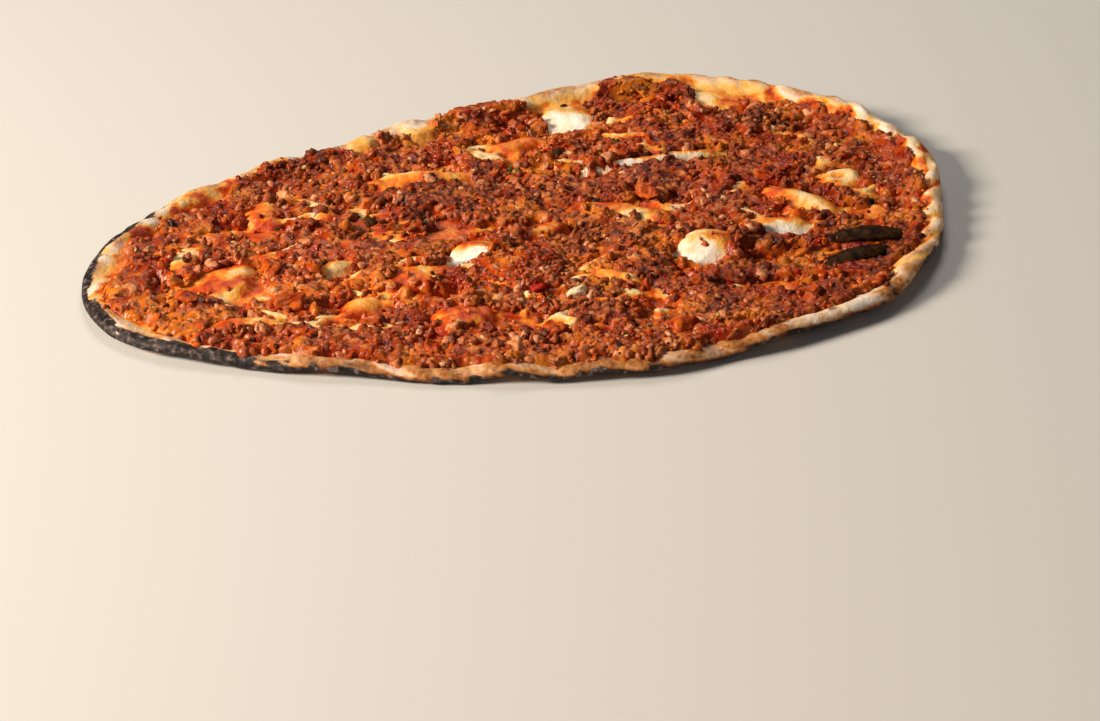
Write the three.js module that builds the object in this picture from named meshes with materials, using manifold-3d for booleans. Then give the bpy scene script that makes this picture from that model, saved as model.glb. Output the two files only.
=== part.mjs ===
// Lahmacun: a thin oval flatbread with a raised, uneven rim and a baked layer of minced meat and tomato.
// Units are millimetres, +Z is up, and the long axis lies along X with the narrow end at -X.
// The bread rests on its flat underside at z = 0, and the middle of its outline's box is the origin.

import * as THREE from "three";
import { mergeVertices } from "three/addons/utils/BufferGeometryUtils.js";
import Module from "manifold-3d";

const wasm = await Module();
wasm.setup();

// The oval's own axes: with the waves of its outline, the bread is 330 mm long and 214 mm wide.
const OVAL_LENGTH = 323;
const OVAL_WIDTH = 210.5;
const DOUGH_THICKNESS = 3;
const TOPPING_THICKNESS = 2;
const PIECE_GAP = 0.3;
const DEGREE = Math.PI / 180;

// A waves list adds up size * cos(lobes * angle + phase): the unevenness that hand stretching leaves.
function waveSum(waves, angle) {
  let sum = 0;
  for (const { lobes, size, phase } of waves) sum += size * Math.cos(lobes * angle + phase * DEGREE);
  return sum;
}

// The same numbers come out on every run.
function seededRandom(seed) {
  let state = seed;
  return () => {
    state = (state * 1664525 + 1013904223) % 4294967296;
    return state / 4294967296;
  };
}

function smoothStep(low, high, value) {
  const share = Math.min(1, Math.max(0, (value - low) / (high - low)));
  return share * share * (3 - 2 * share);
}

// Outline. The radius is that of an ellipse, swollen or drawn in by a share that changes with angle.

const OUTLINE_WAVES = [
  { lobes: 1, size: 0.068, phase: -9 },
  { lobes: 2, size: 0.02, phase: 8 },
  { lobes: 3, size: 0.063, phase: -145 },
  { lobes: 4, size: 0.008, phase: 150 },
  { lobes: 5, size: 0.019, phase: -168 },
  { lobes: 8, size: 0.009, phase: -28 },
  { lobes: 17, size: 0.004, phase: 40 },
];

function edgeRadius(angle) {
  const across = Math.hypot(OVAL_WIDTH * Math.cos(angle), OVAL_LENGTH * Math.sin(angle));
  return ((OVAL_LENGTH * OVAL_WIDTH) / 2 / across) * (1 + waveSum(OUTLINE_WAVES, angle));
}

// A point that is inset millimetres in from the outer edge, towards the middle.
function insetPoint(angle, inset) {
  const radius = edgeRadius(angle) - inset;
  return new THREE.Vector2(radius * Math.cos(angle), radius * Math.sin(angle));
}

// Rim. It stands highest at the wide end and lowest at the narrow end, and its crest is lumpy.

const RIM_HEIGHT = 7.8;
const RIM_HEIGHT_WAVES = [
  { lobes: 1, size: 2.2, phase: -40 },
  { lobes: 7, size: 0.4, phase: 20 },
  { lobes: 13, size: 0.6, phase: 75 },
  { lobes: 22, size: 0.5, phase: 10 },
];
const CREST_INSET = 4;
const INNER_SLOPE = 11;
const INNER_SLOPE_WAVES = [
  { lobes: 1, size: 2.6, phase: -50 },
  { lobes: 9, size: 1.2, phase: 30 },
];
const RIM_POINTS = 100;

const crestHeight = (angle) => RIM_HEIGHT + waveSum(RIM_HEIGHT_WAVES, angle);
const slopeWidth = (angle) => INNER_SLOPE + waveSum(INNER_SLOPE_WAVES, angle);

// The rounded nose of the rim, from the crest over the outside to where the underside starts. Each drop is
// below the crest. Under the rim the dough then comes down to the table, at a share of the height left.
const NOSE = [
  { inset: CREST_INSET, drop: 0 },
  { inset: 2.2, drop: 0.3 },
  { inset: 0.7, drop: 1.3 },
  { inset: 0, drop: 2.6 },
  { inset: 0.6, drop: 3.8 },
  { inset: 2.6, drop: 4.6 },
];
const UNDERSIDE_TURN = [
  { inset: 9, share: 0.5 },
  { inset: 15, share: 0.14 },
];
const FLAT_INSET = 23;
const FLAT_RINGS = [48, 18, 6];

// Dough relief. Long soft swells run through the sheet; each is a cosine with its own wavelength and
// direction.

const SWELLS = [
  { wavelength: 118, height: 0.75, direction: 20, phase: 40 },
  { wavelength: 76, height: 0.6, direction: 105, phase: 160 },
  { wavelength: 49, height: 0.45, direction: 65, phase: 250 },
  { wavelength: 37, height: 0.35, direction: -30, phase: 10 },
];

function swell(x, y) {
  let height = 0;
  for (const wave of SWELLS) {
    const along = x * Math.cos(wave.direction * DEGREE) + y * Math.sin(wave.direction * DEGREE);
    height += wave.height * Math.cos((2 * Math.PI * along) / wave.wavelength + wave.phase * DEGREE);
  }
  return height;
}

// Top of the dough, without its blisters, from the crest inwards.
function doughHeight(x, y) {
  const angle = Math.atan2(y, x);
  const inset = edgeRadius(angle) - Math.hypot(x, y);
  const climb = 1 - smoothStep(CREST_INSET, CREST_INSET + slopeWidth(angle), inset);
  const flat = DOUGH_THICKNESS + swell(x, y);
  return flat + (crestHeight(angle) - flat) * climb;
}

// Blisters are gas bubbles that lift the dough through the topping, so their tops stay bare. A blister's
// height is over the dough around it.

const BLISTERS = [
  { x: 54, y: -32, long: 30, wide: 24, high: 8.6, turn: 25 },
  { x: -24, y: -6, long: 30, wide: 17, high: 7.4, turn: 22 },
  { x: 84, y: -29, long: 32, wide: 14, high: 6.4, turn: -18 },
  { x: 102, y: -14, long: 38, wide: 13, high: 5.8, turn: -48 },
  { x: 70, y: 36, long: 66, wide: 11, high: 5.4, turn: -5 },
  { x: 36, y: 3, long: 44, wide: 14, high: 5.8, turn: -34 },
  { x: -22, y: 54, long: 40, wide: 12, high: 5.8, turn: -22 },
  { x: 4, y: -3, long: 27, wide: 10, high: 5.4, turn: 15 },
  { x: -76, y: 0, long: 22, wide: 11, high: 5.4, turn: 5 },
  { x: -50, y: -21, long: 36, wide: 25, high: 7.4, turn: -15 },
  { x: -75, y: -29, long: 18, wide: 13, high: 5.6, turn: 30 },
  { x: -47, y: -51, long: 28, wide: 20, high: 6.6, turn: 20 },
  { x: -120, y: -27, long: 26, wide: 10, high: 4.8, turn: -8 },
  { x: -87, y: 50, long: 20, wide: 15, high: 6.8, turn: 60 },
  { x: -125, y: 22, long: 17, wide: 9, high: 4.8, turn: 55 },
  { x: -94, y: 32, long: 21, wide: 10, high: 5.2, turn: -20 },
  { x: 14, y: -47, long: 24, wide: 9, high: 4.8, turn: -50 },
  { x: 22, y: 70, long: 32, wide: 11, high: 5.4, turn: 8 },
];

// Closed shells are built from rings of points round the middle, each joined to the next by a band of
// triangles.
class Shell {
  points = [];
  faces = [];

  ring(count, place) {
    const ids = [];
    for (let i = 0; i < count; i++) {
      ids.push(this.points.length / 3);
      this.points.push(...place((i / count) * 2 * Math.PI));
    }
    return ids;
  }

  // Goes round both rings at once, always stepping on the one that is further behind.
  band(from, to, flipped = false) {
    let i = 0;
    let j = 0;
    while (i < from.length || j < to.length) {
      const a = from[i % from.length];
      const b = to[j % to.length];
      const stepTo = (j + 1) * from.length <= (i + 1) * to.length;
      const c = stepTo ? to[(j + 1) % to.length] : from[(i + 1) % from.length];
      if (a !== c && b !== c) this.faces.push(...(flipped ? [b, a, c] : [a, b, c]));
      if (stepTo) j++;
      else i++;
    }
  }

  bands(rings, flipped = false) {
    for (let i = 1; i < rings.length; i++) this.band(rings[i - 1], rings[i], flipped);
  }

  geometry() {
    const geometry = new THREE.BufferGeometry();
    geometry.setAttribute("position", new THREE.Float32BufferAttribute(this.points, 3));
    return geometry.setIndex(this.faces);
  }
}

// Boolean solids, and back to a mesh's geometry.
function solidOf(geometry) {
  const bare = geometry.clone();
  bare.deleteAttribute("normal");
  bare.deleteAttribute("uv");
  const merged = mergeVertices(bare, 1e-4);
  return new wasm.Manifold(
    new wasm.Mesh({
      numProp: 3,
      vertProperties: merged.attributes.position.array,
      triVerts: new Uint32Array(merged.index.array),
    }),
  );
}

function geometryOf(solid) {
  const mesh = solid.getMesh();
  const geometry = new THREE.BufferGeometry();
  geometry.setAttribute("position", new THREE.BufferAttribute(mesh.vertProperties, 3));
  geometry.setIndex(new THREE.BufferAttribute(mesh.triVerts, 1));
  geometry.computeVertexNormals();
  return geometry;
}

function largestBody(solid) {
  return solid.decompose().reduce((best, body) => (body.volume() > best.volume() ? body : best));
}

// Scales a geometry of unit radius to half sizes, turns it and sets it down.
function place(geometry, halfSize, turn, position) {
  return geometry
    .clone()
    .scale(halfSize.x, halfSize.y, halfSize.z)
    .applyQuaternion(new THREE.Quaternion().setFromEuler(turn))
    .translate(position.x, position.y, position.z);
}

// Bread

const TOPPING_MARGIN = 11;
const TOPPING_MARGIN_WAVES = [
  { lobes: 1, size: 2.4, phase: -40 },
  { lobes: 5, size: 0.9, phase: 60 },
  { lobes: 11, size: 0.5, phase: 15 },
];
const DOUGH_RINGS = 11;
const POINTS_PER_RING = 6;
const DOME_SIDES = 8;
const DOME_STEPS = 6;

// A point on the area under the topping: share 0 is the middle, and share 1 the topping's edge.
function toppingPoint(share, angle) {
  const margin = TOPPING_MARGIN + waveSum(TOPPING_MARGIN_WAVES, angle);
  return insetPoint(angle, margin).multiplyScalar(share);
}

function doughRing(shell, ringNumber, lift) {
  return shell.ring(Math.max(1, ringNumber * POINTS_PER_RING), (angle) => {
    const { x, y } = toppingPoint(ringNumber / DOUGH_RINGS, angle);
    return [x, y, doughHeight(x, y) + lift];
  });
}

// A dome's lower half is pressed flat, so that it stays within the dough.
const DOME_BASE_SHARE = 0.1;
const unitDome = new THREE.SphereGeometry(1, DOME_SIDES, DOME_STEPS).rotateX(Math.PI / 2);
const domePoints = unitDome.getAttribute("position");
for (let i = 0; i < domePoints.count; i++)
  if (domePoints.getZ(i) < 0) domePoints.setZ(i, domePoints.getZ(i) * DOME_BASE_SHARE);

function blisterSolid({ x, y, long, wide, high, turn }, grow) {
  const halfSize = new THREE.Vector3(long / 2 + grow, wide / 2 + grow, high + grow);
  const position = { x, y, z: doughHeight(x, y) };
  return solidOf(place(unitDome, halfSize, new THREE.Euler(0, 0, turn * DEGREE), position));
}

function breadGeometry() {
  const shell = new Shell();
  const rimRing = (inset, height) =>
    shell.ring(RIM_POINTS, (angle) => [...insetPoint(angle, inset), height(crestHeight(angle))]);
  const rings = [];
  for (let k = 0; k <= DOUGH_RINGS; k++) rings.push(doughRing(shell, k, 0));
  for (const { inset, drop } of NOSE) rings.push(rimRing(inset, (crest) => crest - drop));
  const { drop: noseDrop } = NOSE.at(-1);
  for (const { inset, share } of UNDERSIDE_TURN)
    rings.push(rimRing(inset, (crest) => (crest - noseDrop) * share));
  rings.push(rimRing(FLAT_INSET, () => 0));
  for (const count of FLAT_RINGS)
    rings.push(
      shell.ring(count, (angle) => {
        const { x, y } = insetPoint(angle, FLAT_INSET).multiplyScalar(count / RIM_POINTS);
        return [x, y, 0];
      }),
    );
  rings.push(shell.ring(1, () => [0, 0, 0]));
  shell.bands(rings);
  const blisters = BLISTERS.map((blister) => blisterSolid(blister, 0));
  return geometryOf(solidOf(shell.geometry()).add(wasm.Manifold.union(blisters)));
}

// Loose pieces of vegetable that lie half sunk in the topping.

const TOMATO_PIECES = [
  { x: -98, y: -20, size: 12, turn: 20 },
  { x: -97, y: 6, size: 9, turn: 75 },
  { x: -132, y: -6, size: 8, turn: 130 },
  { x: -20, y: -72, size: 10, turn: 40 },
  { x: 22, y: -88, size: 11, turn: 0 },
  { x: 52, y: 12, size: 9, turn: 100 },
  { x: 12, y: 84, size: 9, turn: 20 },
];
const LUMP_RISE = 1.1;
const RED_PEPPER = { x: -15, y: -45, long: 8, wide: 5.5, high: 4.5, turn: 35 };
const ONION = { x: -4, y: -53, long: 10, wide: 5, high: 4.6, turn: 20 };

const surfaceHeight = (x, y) => doughHeight(x, y) + PIECE_GAP + TOPPING_THICKNESS;
const unitLump = new THREE.DodecahedronGeometry(1);
const unitClump = new THREE.IcosahedronGeometry(1, 0);

function lumpGeometry({ x, y, long, wide, high, turn }, grow) {
  const halfSize = new THREE.Vector3(long / 2 + grow, wide / 2 + grow, high / 2 + grow);
  const position = { x, y, z: surfaceHeight(x, y) + LUMP_RISE };
  return place(unitLump, halfSize, new THREE.Euler(0, 0, turn * DEGREE), position);
}

function tomatoLump(tomato) {
  return { ...tomato, long: tomato.size, wide: tomato.size * 0.72, high: tomato.size * 0.5 };
}

// Two strips of roasted green pepper, each a trough-shaped slice that bends over the meat.

const PEPPER_SLICES = [
  { x: 112, y: -50, length: 27, width: 9, thickness: 1.5, arch: 1.6, turn: -12 },
  { x: 101, y: -63, length: 26, width: 8, thickness: 1.5, arch: 1.4, turn: 8 },
];
const PEPPER_STEPS = 6;
const PEPPER_SIDE_POINTS = 4;
const PEPPER_DROOP = 1.8;
const PEPPER_RISE = 1.6;

// The section is a shallow arch, and the strip's two ends droop.
function pepperGeometry({ x, y, length, width, thickness, arch, turn }, grow) {
  const half = width / 2 + grow;
  const skin = thickness / 2 + grow;
  const section = new THREE.Shape();
  for (let i = 0; i <= PEPPER_SIDE_POINTS; i++) {
    const across = -half + (2 * half * i) / PEPPER_SIDE_POINTS;
    const lower = arch * (1 - (across / half) ** 2) - skin;
    if (i === 0) section.moveTo(across, lower);
    else section.lineTo(across, lower);
  }
  for (let i = PEPPER_SIDE_POINTS; i >= 0; i--) {
    const across = -half + (2 * half * i) / PEPPER_SIDE_POINTS;
    section.lineTo(across, arch * (1 - (across / half) ** 2) + skin);
  }
  const full = length + 2 * grow;
  const strip = new THREE.ExtrudeGeometry(section, { depth: full, steps: PEPPER_STEPS, bevelEnabled: false })
    .translate(0, 0, -full / 2)
    .rotateX(Math.PI / 2)
    .rotateZ(Math.PI / 2);
  const position = strip.getAttribute("position");
  for (let i = 0; i < position.count; i++) {
    const droop = PEPPER_DROOP * (position.getX(i) / (length / 2)) ** 2;
    position.setZ(i, position.getZ(i) - droop);
  }
  return strip.rotateZ(turn * DEGREE).translate(x, y, surfaceHeight(x, y) + PEPPER_RISE);
}

// Topping

const TOPPING_RINGS = 18;
const BUMP_HEIGHT = 2.2;
const EDGE_THICKNESS = 0.7;
const EDGE_TAPER = 0.94;
const CLUMPS = 54;
const CLUMP_REACH = 0.84;
const CLUMP_SIZES = [6, 10];
const CLUMP_HALF_HEIGHT = 2;
const CLUMP_RISE = 1.1;
const GOLDEN_ANGLE = Math.PI * (3 - Math.sqrt(5));

function toppingCore(random) {
  const shell = new Shell();
  const rings = [];
  for (let k = 0; k <= TOPPING_RINGS; k++)
    rings.push(
      shell.ring(Math.max(1, k * POINTS_PER_RING), (angle) => {
        const share = k / TOPPING_RINGS;
        const { x, y } = toppingPoint(share, angle);
        const full = TOPPING_THICKNESS + BUMP_HEIGHT * random();
        const thickness = share < EDGE_TAPER ? full : EDGE_THICKNESS;
        return [x, y, doughHeight(x, y) + PIECE_GAP + thickness];
      }),
    );
  const underside = [];
  for (let k = 0; k <= DOUGH_RINGS; k++) underside.push(doughRing(shell, k, PIECE_GAP));
  shell.bands(rings);
  shell.band(rings.at(-1), underside.at(-1));
  const facingDown = true;
  shell.bands(underside, facingDown);
  return solidOf(shell.geometry());
}

// The largest clumps of mince stand proud, spread evenly by the golden angle and each one uneven in size
// and turn.
function clumpSolids(random) {
  const clumps = [];
  for (let i = 0; i < CLUMPS; i++) {
    const share = CLUMP_REACH * Math.sqrt((i + random()) / CLUMPS);
    const { x, y } = toppingPoint(share, i * GOLDEN_ANGLE);
    const size = CLUMP_SIZES[0] + (CLUMP_SIZES[1] - CLUMP_SIZES[0]) * random();
    const halfSize = new THREE.Vector3(size / 2, (size / 2) * (0.6 + 0.3 * random()), CLUMP_HALF_HEIGHT);
    const turn = new THREE.Euler(0, 0, random() * 2 * Math.PI);
    clumps.push(solidOf(place(unitClump, halfSize, turn, { x, y, z: surfaceHeight(x, y) + CLUMP_RISE })));
  }
  return clumps;
}

function toppingGeometry() {
  const random = seededRandom(7);
  const core = toppingCore(random);
  const full = core.add(wasm.Manifold.union(clumpSolids(random)));
  const blisters = BLISTERS.map((blister) => blisterSolid(blister, PIECE_GAP));
  const pieces = [
    ...TOMATO_PIECES.map((tomato) => solidOf(lumpGeometry(tomatoLump(tomato), PIECE_GAP))),
    solidOf(lumpGeometry(RED_PEPPER, PIECE_GAP)),
    solidOf(lumpGeometry(ONION, PIECE_GAP)),
    ...PEPPER_SLICES.map((slice) => solidOf(pepperGeometry(slice, PIECE_GAP))),
  ];
  return geometryOf(largestBody(full.subtract(wasm.Manifold.union([...blisters, ...pieces]))));
}

// Assembly

const MATERIALS = {
  bread: new THREE.MeshStandardMaterial({ color: "#d9a066", roughness: 0.75, metalness: 0 }),
  topping: new THREE.MeshStandardMaterial({ color: "#9a4a24", roughness: 0.45, metalness: 0 }),
  tomato: new THREE.MeshStandardMaterial({ color: "#c23a17", roughness: 0.35, metalness: 0 }),
  redPepper: new THREE.MeshStandardMaterial({ color: "#b0100c", roughness: 0.35, metalness: 0 }),
  onion: new THREE.MeshStandardMaterial({ color: "#f0e2bf", roughness: 0.4, metalness: 0 }),
  greenPepper: new THREE.MeshStandardMaterial({ color: "#2e2410", roughness: 0.3, metalness: 0 }),
};

const lahmacun = new THREE.Group();

function addPiece(name, geometry, material) {
  const mesh = new THREE.Mesh(geometry, material);
  mesh.name = name;
  lahmacun.add(mesh);
}

addPiece("bread", breadGeometry(), MATERIALS.bread);
addPiece("topping", toppingGeometry(), MATERIALS.topping);
TOMATO_PIECES.forEach((tomato, i) => {
  addPiece(`tomato_piece_${i + 1}`, lumpGeometry(tomatoLump(tomato), 0), MATERIALS.tomato);
});
addPiece("red_pepper_piece", lumpGeometry(RED_PEPPER, 0), MATERIALS.redPepper);
addPiece("onion_piece", lumpGeometry(ONION, 0), MATERIALS.onion);
PEPPER_SLICES.forEach((slice, i) => {
  addPiece(`pepper_slice_${i + 1}`, pepperGeometry(slice, 0), MATERIALS.greenPepper);
});

// The outline's box is centred on the origin.
const outlineBox = new THREE.Box3().setFromObject(lahmacun);
const middle = outlineBox.getCenter(new THREE.Vector3());
lahmacun.position.set(-middle.x, -middle.y, 0);

export default lahmacun;
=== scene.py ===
# Lahmacun: a thin oval flatbread with a raised rim, baked under minced meat, tomato and peppers.
# The bread's and topping's sizes are millimetres, turned to the frame's metres as a mesh is written. The
# camera, table and lights are placed in metres. Angles in lists are degrees, from +X towards +Y.

import math

import bmesh
import bpy
import numpy as np
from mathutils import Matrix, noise


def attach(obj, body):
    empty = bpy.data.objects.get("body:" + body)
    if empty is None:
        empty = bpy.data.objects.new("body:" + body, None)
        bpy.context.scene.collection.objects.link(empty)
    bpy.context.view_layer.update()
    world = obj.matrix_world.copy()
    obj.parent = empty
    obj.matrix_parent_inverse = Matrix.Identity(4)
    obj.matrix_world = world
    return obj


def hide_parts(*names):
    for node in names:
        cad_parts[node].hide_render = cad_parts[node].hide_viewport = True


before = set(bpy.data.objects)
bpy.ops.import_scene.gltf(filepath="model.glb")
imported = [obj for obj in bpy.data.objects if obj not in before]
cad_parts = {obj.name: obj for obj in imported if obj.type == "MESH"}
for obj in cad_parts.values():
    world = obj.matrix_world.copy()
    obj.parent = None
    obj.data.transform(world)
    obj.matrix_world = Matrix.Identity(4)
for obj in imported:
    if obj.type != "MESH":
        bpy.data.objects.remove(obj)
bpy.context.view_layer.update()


# Camera, table and light. A long lens looks down on the bread from its near side, with the narrow end at
# the left. The table is plain and pale, and a broad soft light comes over it from the left and behind.

bpy.context.scene.view_settings.view_transform = "Standard"

CAMERA_LENS = 85
CAMERA_PLACE = (-0.3093, -0.7881, 0.4483)
CAMERA_TILT = 59.5
CAMERA_TURN = -21.88
camera_data = bpy.data.cameras.new("camera")
camera_data.lens = CAMERA_LENS
camera = bpy.data.objects.new("camera", camera_data)
camera.location = CAMERA_PLACE
camera.rotation_euler = (math.radians(CAMERA_TILT), 0, math.radians(CAMERA_TURN))
bpy.context.scene.collection.objects.link(camera)
bpy.context.scene.camera = camera


def linear(colour):
    """An sRGB hex colour as the linear RGBA that shaders take."""
    channels = [int(colour[i : i + 2], 16) / 255 for i in (1, 3, 5)]
    return (*[c / 12.92 if c <= 0.04045 else ((c + 0.055) / 1.055) ** 2.4 for c in channels], 1)


def add(tree, kind, links=None, **settings):
    """Adds a node with its settings; links gives each input a value or another node's output."""
    made = tree.nodes.new(kind)
    for name, value in settings.items():
        setattr(made, name, value)
    for name, value in (links or {}).items():
        if isinstance(value, bpy.types.NodeSocket):
            tree.links.new(value, made.inputs[name])
        else:
            made.inputs[name].default_value = value
    return made


def new_material(name):
    """An empty material and its node tree."""
    material = bpy.data.materials.new(name)
    material.use_nodes = True
    material.node_tree.nodes.clear()
    return material, material.node_tree


def finish_material(tree, shader):
    """Puts the shader on the material's surface."""
    add(tree, "ShaderNodeOutputMaterial", {"Surface": shader.outputs[0]})


def new_object(name, mesh):
    thing = bpy.data.objects.new(name, mesh)
    bpy.context.scene.collection.objects.link(thing)
    return thing


TABLE_HALF = 4
table_bm = bmesh.new()
bmesh.ops.create_grid(table_bm, x_segments=1, y_segments=1, size=TABLE_HALF)
table_mesh = bpy.data.meshes.new("table")
table_bm.to_mesh(table_mesh)
table_bm.free()
table = new_object("table", table_mesh)

# Matt pale paint: it takes a soft shadow and gives no reflection.
table_paint, tree = new_material("matt_painted_table")
finish_material(
    tree,
    add(tree, "ShaderNodeBsdfPrincipled", {"Base Color": linear("#dad8d4"), "Roughness": 0.8}),
)
table_mesh.materials.append(table_paint)

SOFT_LIGHTS = (
    {"name": "window", "at": (-1.3, 0.06, 0.7), "size": 0.4, "watts": 36, "colour": "#fff0de"},
    {"name": "overhead", "at": (0.25, 0.6, 0.95), "size": 0.5, "watts": 4, "colour": "#fff8f0"},
    {"name": "front_fill", "at": (0.1, -1.4, 0.8), "size": 1.0, "watts": 1.0, "colour": "#fff8f2"},
)
for light in SOFT_LIGHTS:
    lamp = bpy.data.lights.new(light["name"], "AREA")
    lamp.size = light["size"]
    lamp.energy = light["watts"]
    lamp.color = linear(light["colour"])[:3]
    holder = bpy.data.objects.new(light["name"], lamp)
    holder.location = light["at"]
    direction = -holder.location.normalized()
    holder.rotation_euler = direction.to_track_quat("-Z", "Y").to_euler()
    bpy.context.scene.collection.objects.link(holder)

ROOM_GLOW = 0.07
world = bpy.data.worlds.new("soft_room")
world.use_nodes = True
world.node_tree.nodes["Background"].inputs["Color"].default_value = linear("#f3f1ee")
world.node_tree.nodes["Background"].inputs["Strength"].default_value = ROOM_GLOW
bpy.context.scene.world = world


# Bread: one sheet of wheat dough, stretched by hand to an egg-shaped oval and baked on a hot stone. Its edge
# is pinched up into a rim, gas bubbles lift it in blisters, and the outside of the rim is charred; down that
# outside the dark colour is partly painted shade.

OVAL_LENGTH = 323
OVAL_WIDTH = 210.5
# Waves of the outline, the rim's height and the inner slope's width: lobes round, size and phase.
OUTLINE_WAVES = (
    (1, 0.068, -9),
    (2, 0.02, 8),
    (3, 0.063, -145),
    (4, 0.008, 150),
    (5, 0.019, -168),
    (8, 0.009, -28),
    (17, 0.004, 40),
)
DOUGH_THICKNESS = 3
RIM_HEIGHT = 7.8
RIM_HEIGHT_WAVES = ((1, 2.2, -40), (7, 0.4, 20), (13, 0.6, 75), (22, 0.5, 10))
# The crest lies this far in from the edge, and the inner slope is this wide.
CREST_INSET = 4
INNER_SLOPE = 11
INNER_SLOPE_WAVES = ((1, 2.6, -50), (9, 1.2, 30))
# From the crest the outside rounds down this far to the edge, and this far again as it turns under.
NOSE_DROP = 2.6
NOSE_UNDER = 2.2
# Further in than this the underside is flat on the table.
FLAT_INSET = 23

# Long soft swells of the sheet: wavelength, height, direction and phase in degrees.
SWELLS = ((118, 0.75, 20, 40), (76, 0.6, 105, 160), (49, 0.45, 65, 250), (37, 0.35, -30, 10))

# Blisters: middle, length, width, height over the dough and turn. bare is how free of mince the top is,
# stain how deep oil and tomato have coloured it, and pale the direction of a steeper side that stayed white.
BLISTERS = (
    {"at": (57, -33), "size": (30, 25, 8.6), "turn": 25, "bare": 1.1, "stain": 0.42, "pale": 236},
    {"at": (-24, -6), "size": (30, 17, 7.4), "turn": 22, "bare": 0.9, "stain": 0.6, "pale": 240},
    {"at": (84, -29), "size": (32, 14, 6.4), "turn": -18, "bare": 0.9, "stain": 0.5, "pale": 255},
    {"at": (102, -14), "size": (38, 13, 5.8), "turn": -48, "bare": 0.8, "stain": 0.42, "pale": None},
    {"at": (70, 36), "size": (66, 9, 5.4), "turn": -5, "bare": 0.8, "stain": 0.5, "pale": 262},
    {"at": (36, 3), "size": (44, 14, 5.8), "turn": -34, "bare": 0.9, "stain": 0.58, "pale": None},
    {"at": (-22, 54), "size": (42, 11, 5.8), "turn": -22, "bare": 1.0, "stain": 0.38, "pale": None},
    {"at": (4, -3), "size": (27, 9, 5.4), "turn": 15, "bare": 0.7, "stain": 0.65, "pale": None},
    {"at": (-76, 0), "size": (22, 11, 5.4), "turn": 5, "bare": 0.8, "stain": 0.4, "pale": None},
    {"at": (-50, -21), "size": (36, 25, 7.4), "turn": -15, "bare": 0.5, "stain": 0.6, "pale": None},
    {"at": (-75, -29), "size": (18, 13, 5.6), "turn": 30, "bare": 0.85, "stain": 0.55, "pale": None},
    {"at": (-47, -51), "size": (28, 20, 6.6), "turn": 20, "bare": 0.45, "stain": 0.6, "pale": None},
    {"at": (-120, -27), "size": (26, 10, 4.8), "turn": -8, "bare": 0.8, "stain": 0.45, "pale": None},
    {"at": (-87, 50), "size": (20, 15, 6.8), "turn": 60, "bare": 0.85, "stain": 0.55, "pale": None},
    {"at": (-126, 21), "size": (26, 13, 4.8), "turn": 55, "bare": 1.2, "stain": 0.42, "pale": None},
    {"at": (-94, 32), "size": (21, 10, 5.2), "turn": -20, "bare": 0.8, "stain": 0.65, "pale": None},
    {"at": (14, -47), "size": (24, 9, 4.8), "turn": -50, "bare": 0.8, "stain": 0.55, "pale": None},
    {"at": (22, 70), "size": (32, 11, 5.4), "turn": 8, "bare": 0.7, "stain": 0.5, "pale": None},
    {"at": (-114, 7), "size": (28, 16, 3.6), "turn": 20, "bare": 0.55, "stain": 0.6, "pale": None},
    {"at": (51, 90), "size": (34, 22, 4.4), "turn": 60, "bare": 1.3, "stain": 0.35, "pale": 245},
    {"at": (111, 82), "size": (38, 29, 2.8), "turn": 45, "bare": 1.3, "stain": 0.22, "pale": None},
    {"at": (-36, 88), "size": (16, 12, 2.6), "turn": 10, "bare": 1.4, "stain": 0.35, "pale": 250},
    {"at": (-13, 91), "size": (18, 12, 2.6), "turn": -10, "bare": 1.4, "stain": 0.3, "pale": 250},
)


def wave_sum(rows, angle):
    """The unevenness of hand stretching, as a sum of waves round the oval."""
    return sum(size * np.cos(lobes * angle + np.radians(phase)) for lobes, size, phase in rows)


def edge_radius(angle):
    """Radius of the bread's edge."""
    across = np.hypot(OVAL_WIDTH * np.cos(angle), OVAL_LENGTH * np.sin(angle))
    return OVAL_LENGTH * OVAL_WIDTH / 2 / across * (1 + wave_sum(OUTLINE_WAVES, angle))


def smooth_step(low, high, value):
    """Rises softly from 0 at low to 1 at high, or falls where low is the larger."""
    share = np.clip((value - low) / (high - low), 0, 1)
    return share * share * (3 - 2 * share)


def smooth_max(a, b, width):
    """The larger of two, rounded over where they cross."""
    return (a + b + np.sqrt((a - b) ** 2 + width * width)) / 2


def rough(x, y, size, seed, octaves=3):
    """Fractal noise about 0, with its largest lumps size millimetres apart."""
    points = zip((x / size).tolist(), (y / size).tolist())
    return np.array([noise.fractal((u, v, seed), 1.0, 2.0, octaves) for u, v in points])


def crest_height(angle):
    """Height of the rim's crest over the table."""
    return RIM_HEIGHT + wave_sum(RIM_HEIGHT_WAVES, angle)


def sheet_height(x, y):
    """The top of the stretched dough before it blistered."""
    angle = np.arctan2(y, x)
    inset = edge_radius(angle) - np.hypot(x, y)
    slope = INNER_SLOPE + wave_sum(INNER_SLOPE_WAVES, angle)
    climb = 1 - smooth_step(CREST_INSET, CREST_INSET + slope, inset)
    flat = DOUGH_THICKNESS
    for wavelength, height, direction, phase in SWELLS:
        turn = np.radians(direction)
        along = x * np.cos(turn) + y * np.sin(turn)
        flat = flat + height * np.cos(2 * np.pi * along / wavelength + np.radians(phase))
    return flat + (crest_height(angle) - flat) * climb


def blister_place(blister, x, y):
    """Squared share of the blister's oval, and how far towards its white side, or 0, each point is."""
    across_x = x - blister["at"][0]
    across_y = y - blister["at"][1]
    turn = np.radians(blister["turn"])
    along = (across_x * np.cos(turn) + across_y * np.sin(turn)) / (blister["size"][0] / 2)
    aside = (across_y * np.cos(turn) - across_x * np.sin(turn)) / (blister["size"][1] / 2)
    towards = np.zeros_like(x)
    if blister["pale"] is not None:
        side = np.radians(blister["pale"])
        towards = (across_x * np.cos(side) + across_y * np.sin(side)) / (blister["size"][1] / 2)
    return along**2 + aside**2, towards


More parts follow.
